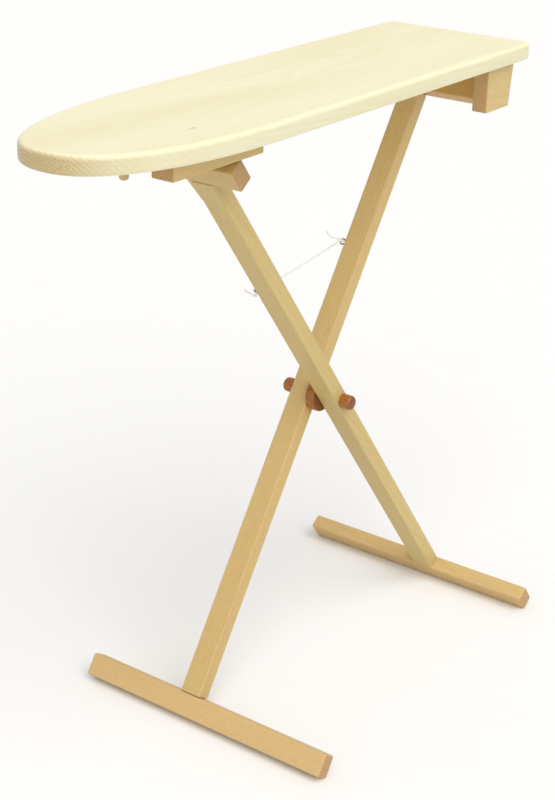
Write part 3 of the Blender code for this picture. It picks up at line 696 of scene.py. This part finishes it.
def hole_for(node, place, axis, past=GAP):
    """The round hole that a dowel, pin or peg sits in, a little larger than its CAD node."""
    low, high = local_box(node, place)
    centre = (low + high) / 2
    reach = Vector()
    reach[axis] = (high - low)[axis] / 2 + past
    across = (high - low)[(axis + 1) % 3]
    return centre - reach, centre + reach, across + 2 * GAP


def board_outline(low, high, timber):
    """The board's plan, anticlockwise from above: square end, then the full curve of the nose."""
    half = (high.y - low.y) / 2
    across = (high.y + low.y) / 2
    corner = timber.rear_corner
    points = []
    for side, first in ((-1, -math.pi / 2), (1, 0)):
        for step in range(9):
            angle = first + step / 8 * math.pi / 2
            points.append((high.x - corner + corner * math.cos(angle),
                           across + side * (half - corner) + corner * math.sin(angle)))
    steps = 44
    for step in range(steps, -steps - 1, -1):
        angle = step / steps * math.pi / 2
        power = 2 / timber.nose_fullness
        along = timber.nose_length * abs(math.cos(angle)) ** power
        aside = math.copysign(half * abs(math.sin(angle)) ** power, angle)
        points.append((low.x + timber.nose_length - along, across + aside))
    return points


class IRONINGBOARD_OT_board(bpy.types.Operator):
    """Makes the flat board with its rounded nose"""
    bl_idname = "ironing_board.board"
    bl_label = "Board"

    def execute(self, context):
        timber = context.scene.ironing_board_timber
        low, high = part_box("board_top")
        bm = bmesh.new()
        corners = [bm.verts.new((x, y, low.z)) for x, y in board_outline(low, high, timber)]
        raised = bmesh.ops.extrude_face_region(bm, geom=[bm.faces.new(corners)])["geom"]
        tops = [item for item in raised if isinstance(item, bmesh.types.BMVert)]
        bmesh.ops.translate(bm, verts=tops, vec=(0, 0, high.z - low.z))
        for level, rounding, segments in ((high.z, timber.top_round, 6),
                                          (low.z, timber.under_round, 4)):
            rim = [edge for edge in bm.edges
                   if all(abs(vert.co.z - level) < SAME for vert in edge.verts)]
            ease(bm, rim, rounding, segments)
        # Pin knots: place, radius and darkness
        knots = [((-0.1957, -0.0468, high.z), 2.2 * MM, 0.45),
                 ((-0.2428, -0.0135, high.z), 4 * MM, 0.0)]
        grain = Matrix.Translation((low + high) / 2) @ ALONG_X
        # The board's edges and nose get 0.16 of painted shade against its top
        wood = planed_wood("board_planed_beech", timber.top_pale, timber.top_dark,
                           timber.top_end, grain, (0.052, 0.018), timber.ring_width,
                           knots=knots, drift=0.75, fleck=0.1, figure=0.34, painted_side_shade=0.16)
        board = finished_piece("board_top_wood", bm, Matrix.Identity(4), "board",
                               ["board_top"], wood)
        holes = [hole_for("storage_peg", LEVEL, 2)]
        holes += [hole_for("block_dowel_" + corner, LEVEL, 2) for corner in CORNERS]
        for corner in CORNERS:
            start, stop, across = hole_for("cleat_screw_" + corner, LEVEL, 2)
            holes.append((start, stop, across / 2))
        drilled(board, LEVEL, holes)
        return {"FINISHED"}


class IRONINGBOARD_OT_legs(bpy.types.Operator):
    """Makes both legs with their crossbars and foot bars"""
    bl_idname = "ironing_board.legs"
    bl_label = "Legs and bars"

    def execute(self, context):
        timber = context.scene.ironing_board_timber
        piths = {"a": (0.031, -0.022), "b": (-0.027, 0.034)}
        for letter, place in (("a", LEG_A), ("b", LEG_B)):
            name = "leg_" + letter
            top = [hole_for(f"{name}_top_dowel_{side}", place, 2) for side, _ in SIDES]
            foot = [hole_for(f"{name}_foot_dowel_{side}", place, 2) for side, _ in SIDES]
            tint = STOCK_TONES_AND_PAINTED_SHADE[letter]
            leg = stick(name, place, name, ALONG_Z, piths[letter], tint=tint)
            eye = hole_for("cord_eye_" + letter, place, 1)
            wire = context.scene.ironing_board_fittings.wire
            holes = top + foot + [hole_for("pivot_dowel", place, 1),
                                  (eye[0], (eye[0] + eye[1]) / 2, wire + 2 * GAP)]
            if letter == "b":
                holes += [hole_for("brace_screw_" + end, place, 1) for end in ("lower", "upper")]
            drilled(leg, place, holes)
            # Leg A's crossbar tint is painted shade for the board above it
            bar = stick(name + "_crossbar", place, name, ALONG_Y, (-0.024, 0.041),
                        tint=STOCK_TONES_AND_PAINTED_SHADE[letter + "_bar"])
            if letter == "a":
                top += [hole_for("hinge_pin_" + side, place, 1) for side, _ in SIDES]
            drilled(bar, place, top)
            bar = stick(name + "_foot", place, name, ALONG_Y, (0.036, 0.029),
                        rounding=timber.foot_edge, tint=STOCK_TONES_AND_PAINTED_SHADE[letter + "_foot"])
            drilled(bar, place, foot)
        return {"FINISHED"}


def square_piece(name, shape, place, grain_turn, pith, rounding, holes=()):
    """Finishes a block of leg stock from its bmesh: rounded arrises, wood and holes."""
    ease(shape, shape.edges, rounding, 3)
    body = "board" if place == LEVEL else "leg_b"
    piece = finished_piece(name + "_wood", shape, place, body, [name],
                           leg_wood(name, grain_turn, place, pith))
    if holes:
        drilled(piece, place, holes)
    return piece


class IRONINGBOARD_OT_blocks(bpy.types.Operator):
    """Makes the tapered hinge blocks, the two cleats and the peg under the board"""
    bl_idname = "ironing_board.blocks"
    bl_label = "Blocks, cleats and peg"

    def execute(self, context):
        timber = context.scene.ironing_board_timber
        for side, sign in SIDES:
            name = "hinge_block_" + side
            low, high = local_box(name, LEVEL)
            bm = cube_between(low, high)
            foot = [vert for vert in bm.verts if vert.co.x > 0 and vert.co.z < 0]
            bmesh.ops.translate(bm, verts=foot, vec=(-BLOCK_TAPER, 0, 0))
            holes = [hole_for(f"block_dowel_{side}_{end}", LEVEL, 2) for end in ("front", "rear")]
            holes.append(hole_for("hinge_pin_" + side, LEVEL, 1))
            square_piece(name, bm, LEVEL, ALONG_X, (0.03, 0.02 * sign), timber.edge, holes)

            name = "nose_cleat_" + side
            low, high = local_box(name, LEVEL)
            cleat = square_piece(name, cube_between(low, high), LEVEL, ALONG_X,
                                 (-0.031, 0.026 * sign), timber.edge)
            sinks = bmesh.new()
            for end in ("front", "rear"):
                head_low, head_high = local_box(f"cleat_screw_{side}_{end}", LEVEL)
                at = (head_low + head_high) / 2
                wide = (head_high.x - head_low.x) / 2 + GAP
                # The mouth, the countersink and the shank's hole, each running past its end
                for low_z, tall, first, last in (
                        (low.z - 2 * MM, head_low.z - low.z + 2 * MM, wide, wide),
                        (head_low.z, SINK_DEPTH, wide, wide / 2),
                        (head_low.z + SINK_DEPTH - 0.01 * MM, 30 * MM, wide / 2, wide / 2)):
                    centre = Vector((at.x, at.y, low_z + tall / 2))
                    bmesh.ops.create_cone(sinks, cap_ends=True, segments=32, radius1=first,
                                          radius2=last, depth=tall,
                                          matrix=Matrix.Translation(centre))
            bmesh.ops.transform(sinks, matrix=LEVEL, verts=sinks.verts)
            cut_out(cleat, sinks)

        low, high = local_box("storage_peg", LEVEL)
        radius = (high.x - low.x) / 2
        bm = turned([(0, 0), (radius, 0), (radius, high.z - low.z), (0, high.z - low.z)],
                    Vector(((low.x + high.x) / 2, (low.y + high.y) / 2, low.z)), (0, 0, 1))
        round_rims(bm, radius, 0.66)
        finished_piece("storage_peg_wood", bm, LEVEL, "board", ["storage_peg"],
                       leg_wood("storage_peg", ALONG_Z, LEVEL, (0.012, 0.017)))
        return {"FINISHED"}


class IRONINGBOARD_OT_pivot(bpy.types.Operator):
    """Makes the pivot's spacer and caps, and gives the hidden dowels and pins their wood"""
    bl_idname = "ironing_board.pivot"
    bl_label = "Pivots"

    def execute(self, context):
        timber = context.scene.ironing_board_timber
        hole = hole_for("pivot_dowel", LEG_B, 1)
        low, high = local_box("pivot_spacer", LEG_B)
        wide = (high.x - low.x) / 2
        bm = turned([(0, 0), (wide, 0), (wide, high.y - low.y), (0, high.y - low.y)],
                    Vector((0, low.y, 0)), (0, 1, 0), 96)
        round_rims(bm, wide, timber.edge / wide)
        spacer = finished_piece("pivot_spacer_wood", bm, LEG_B, "leg_b", ["pivot_spacer"],
                                dowel_wood("pivot_spacer", ALONG_Y, LEG_B,
                                                         (0.004, 0.002)))
        drilled(spacer, LEG_B, [hole])
        cap_round = context.scene.ironing_board_fittings.cap_round
        for side, sign in SIDES:
            name = "pivot_cap_" + side
            low, high = local_box(name, LEG_B)
            wide = (high.x - low.x) / 2
            base = low.y if sign > 0 else high.y
            tall = high.y - low.y
            bm = turned([(0, 0), (wide, 0), (wide, tall), (0, tall)], Vector((0, base, 0)),
                        (0, sign, 0))

            def outer(edge, base=base):
                return abs(edge.verts[0].co.y - base) > 1 * MM

            round_rims(bm, wide, cap_round / wide, outer)
            cap = finished_piece(name + "_wood", bm, LEG_B, "leg_b", [name],
                                 dowel_wood(name, ALONG_Y, LEG_B, (0.011, 0.006)))
            drilled(cap, LEG_B, [hole])
        hidden = [("pivot_dowel", LEG_B, ALONG_Y)]
        hidden += [(f"hinge_pin_{side}", LEVEL, ALONG_Y) for side, _ in SIDES]
        hidden += [("block_dowel_" + corner, LEVEL, ALONG_Z) for corner in CORNERS]
        hidden += [(f"leg_{letter}_{end}_dowel_{side}", place, ALONG_Z) for side, _ in SIDES
                   for end in ("top", "foot") for letter, place in (("a", LEG_A), ("b", LEG_B))]
        for name, place, turn in hidden:
            node = nodes[name]
            node.material_slots[0].link = "OBJECT"
            node.material_slots[0].material = dowel_wood(name, turn, place, (0.009, 0.007))
        return {"FINISHED"}


def cross_screw(name, place, body, direction, steel):
    """A countersunk wood screw with a cross recess, the size of its CAD node."""
    low, high = local_box(name, place)
    axis = max(range(3), key=lambda index: abs(direction[index]))
    forward = direction[axis] > 0
    length = (high - low)[axis]
    wide = (high - low)[(axis + 1) % 3] / 2
    start = (low + high) / 2
    start[axis] = low[axis] if forward else high[axis]
    shank = wide / 2
    # The rim, the countersunk head, the shank and the point
    bm = turned([(0, 0), (wide, 0), (wide, 0.12 * wide), (shank, wide * 0.67),
                 (shank, length - 3 * shank), (0, length)], start, direction, 40)
    screw = finished_piece(name + "_steel", bm, place, body, [name], steel)
    # Each screw stops at its own angle
    turn = (Vector(direction).to_track_quat("Z", "Y").to_matrix().to_4x4()
            @ Matrix.Rotation(0.3 + 40 * start.x + 9 * start.z, 4, "Z"))
    for across, along, deep in ((1.15, 0.26, 0.72), (0.26, 1.15, 0.68)):
        recess = bmesh.new()
        size = Matrix.Diagonal((wide * across, wide * along, wide * deep, 1))
        bmesh.ops.create_cube(recess, size=1, matrix=Matrix.Translation(start) @ turn @ size)
        bmesh.ops.transform(recess, matrix=place, verts=recess.verts)
        cut_out(screw, recess)


class IRONINGBOARD_OT_hardware(bpy.types.Operator):
    """Makes the small brace block, the screws and the two screw eyes"""
    bl_idname = "ironing_board.hardware"
    bl_label = "Brace, screws and eyes"

    def execute(self, context):
        fittings = context.scene.ironing_board_fittings
        steel = dull_steel("dulled_steel_wire", fittings.steel)
        low, high = local_box("brace_block", LEG_B)
        bm = cube_between(low, high)
        outer = [vert for vert in bm.verts
                 if vert.co.z < (low.z + high.z) / 2 and vert.co.y > (low.y + high.y) / 2]
        bmesh.ops.translate(bm, verts=outer, vec=(0, low.y + BRACE_TOE - high.y, 0))
        holes = [hole_for("brace_screw_" + end, LEG_B, 1, 2 * MM) for end in ("lower", "upper")]
        square_piece("brace_block", bm, LEG_B, ALONG_Z, (0.02, 0.033), BRACE_ROUND, holes)
        for end in ("lower", "upper"):
            cross_screw("brace_screw_" + end, LEG_B, "leg_b", (0, -1, 0), steel)
        for corner in CORNERS:
            cross_screw("cleat_screw_" + corner, LEVEL, "board", (0, 0, 1), steel)
        for letter in ("a", "b"):
            name = "cord_eye_" + letter
            centre, outside, place = eye_ring(name)
            low, high = local_box(name, place)
            radius = outside - fittings.wire / 2
            line = [Vector((centre.x, low.y, centre.z)),
                    Vector((centre.x, centre.y - radius * 1.9, centre.z))]
            for step in range(13):
                angle = math.radians(-70 + 318 * step / 12)
                line.append(centre + Vector((0, math.sin(angle), math.cos(angle))) * radius)
            wire = section_curve("wire_section", fittings.wire / 2, 0, 0.0, 16)
            bm = bmesh.new()
            bm.from_mesh(swept(name, smooth_route(line, 0.5 * MM), wire))
            drop(wire)
            finished_piece(name + "_steel", bm, place, "leg_" + letter, [name], steel)
        return {"FINISHED"}


# Stage

class IRONINGBOARD_OT_stage(bpy.types.Operator):
    """Makes the camera, the pale floor and the soft lamps"""
    bl_idname = "ironing_board.stage"
    bl_label = "Stage"

    def execute(self, context):
        stage = context.scene.ironing_board_stage
        lens = bpy.data.cameras.new("camera")
        lens.sensor_width = 36
        lens.lens = stage.lens
        camera = new_object("camera", lens)
        yaw, pitch, roll = stage.yaw, stage.pitch, stage.roll
        ahead = Vector((math.cos(pitch) * math.cos(yaw), math.cos(pitch) * math.sin(yaw),
                        math.sin(pitch)))
        right = ahead.cross(Vector((0, 0, 1))).normalized()
        above = right.cross(ahead)
        turned_right = right * math.cos(roll) + above * math.sin(roll)
        turned_above = above * math.cos(roll) - right * math.sin(roll)
        camera.matrix_world = Matrix.Translation(stage.eye) @ Matrix(
            (turned_right, turned_above, -ahead)).transposed().to_4x4()
        context.scene.camera = camera
        context.scene.view_settings.view_transform = "Standard"

        bm = bmesh.new()
        bmesh.ops.create_grid(bm, x_segments=1, y_segments=1, size=40)
        floor = new_object("floor", mesh_of(bm, "floor"))
        floor.data.materials.append(studio_floor("matt_studio_paper", stage.floor_colour))

        world = bpy.data.worlds.new("white_surround")
        world.use_nodes = True
        sky = world.node_tree.nodes["Background"]
        # The surround looks pure white, while its light on the object is softer
        seen = add_node(world.node_tree, "LightPath").outputs["Is Camera Ray"]
        level = add_node(world.node_tree, "MapRange", {"Value": seen,
                                                       "To Min": stage.sky_strength})
        feed(sky, {"Color": (1, 1, 1, 1), "Strength": level})
        context.scene.world = world
        for name, strength, spread, turn in (
                ("key_sun", stage.key_strength, 55, (38, 0, -28)),
                ("side_sun", stage.fill_strength, 80, (66, 0, -42))):
            lamp = bpy.data.lights.new(name, "SUN")
            lamp.energy = strength
            lamp.angle = math.radians(spread)
            holder = new_object(name, lamp)
            holder.rotation_euler = [math.radians(angle) for angle in turn]
        return {"FINISHED"}


class IRONINGBOARD_PT_panel(bpy.types.Panel):
    """Buttons and sizes of the folding ironing board"""
    bl_idname = "IRONINGBOARD_PT_panel"
    bl_label = "Folding Ironing Board"
    bl_space_type = "VIEW_3D"
    bl_region_type = "UI"
    bl_category = "Ironing Board"

    def draw(self, context):
        for operator in OPERATORS:
            self.layout.operator(operator.bl_idname)
        for group in ("stage", "timber", "fittings"):
            box = self.layout.box()
            settings = getattr(context.scene, "ironing_board_" + group)
            for key in settings.bl_rna.properties.keys():
                if key not in ("rna_type", "name"):
                    box.prop(settings, key)


GROUPS = {
    "ironing_board_stage": IroningBoardStage,
    "ironing_board_timber": IroningBoardTimber,
    "ironing_board_fittings": IroningBoardFittings,
}
OPERATORS = (
    IRONINGBOARD_OT_stage, IRONINGBOARD_OT_cord, IRONINGBOARD_OT_board, IRONINGBOARD_OT_legs,
    IRONINGBOARD_OT_blocks, IRONINGBOARD_OT_pivot, IRONINGBOARD_OT_hardware,
)


def register():
    for key, group in GROUPS.items():
        bpy.utils.register_class(group)
        setattr(bpy.types.Scene, key, PointerProperty(type=group))
    for item in (*OPERATORS, IRONINGBOARD_PT_panel):
        bpy.utils.register_class(item)


def unregister():
    for item in reversed((*OPERATORS, IRONINGBOARD_PT_panel)):
        bpy.utils.unregister_class(item)
    for key, group in GROUPS.items():
        delattr(bpy.types.Scene, key)
        bpy.utils.unregister_class(group)


def main():
    register()
    bpy.ops.ironing_board.stage()
    bpy.ops.ironing_board.cord()
    bpy.ops.ironing_board.board()
    bpy.ops.ironing_board.legs()
    bpy.ops.ironing_board.blocks()
    bpy.ops.ironing_board.pivot()
    bpy.ops.ironing_board.hardware()


if __name__ == "__main__":
    main()
